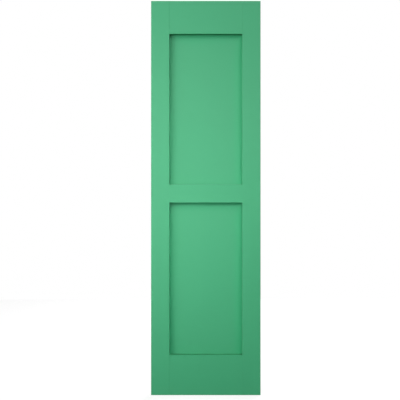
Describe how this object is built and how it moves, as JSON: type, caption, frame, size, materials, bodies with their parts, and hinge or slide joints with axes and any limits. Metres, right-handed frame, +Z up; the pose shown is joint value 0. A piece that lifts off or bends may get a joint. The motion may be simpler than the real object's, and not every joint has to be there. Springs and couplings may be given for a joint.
{
  "type": "flat panel shutter leaf",
  "caption": "Tall exterior shutter leaf: a framed stile-and-rail board with a flat recessed panel above and below its middle rail, fixed flat on a wall beside a window.",
  "frame": {"origin": "centre of the leaf's flat back, on the back face of the middle rail, which lies on the wall", "axes": "+X to the right seen from the front, +Y into the wall (the front face looks along -Y), +Z up"},
  "size_m": [0.381, 0.0318, 1.3716],
  "materials": {
    "painted_frame": "satin",
    "painted_panel": "satin"
  },
  "bodies": {
    "root": {"left_stile": "painted_frame", "right_stile": "painted_frame", "top_rail": "painted_frame", "mid_rail": "painted_frame", "bottom_rail": "painted_frame", "upper_panel": "painted_panel", "lower_panel": "painted_panel"}
  },
  "joints": []
}
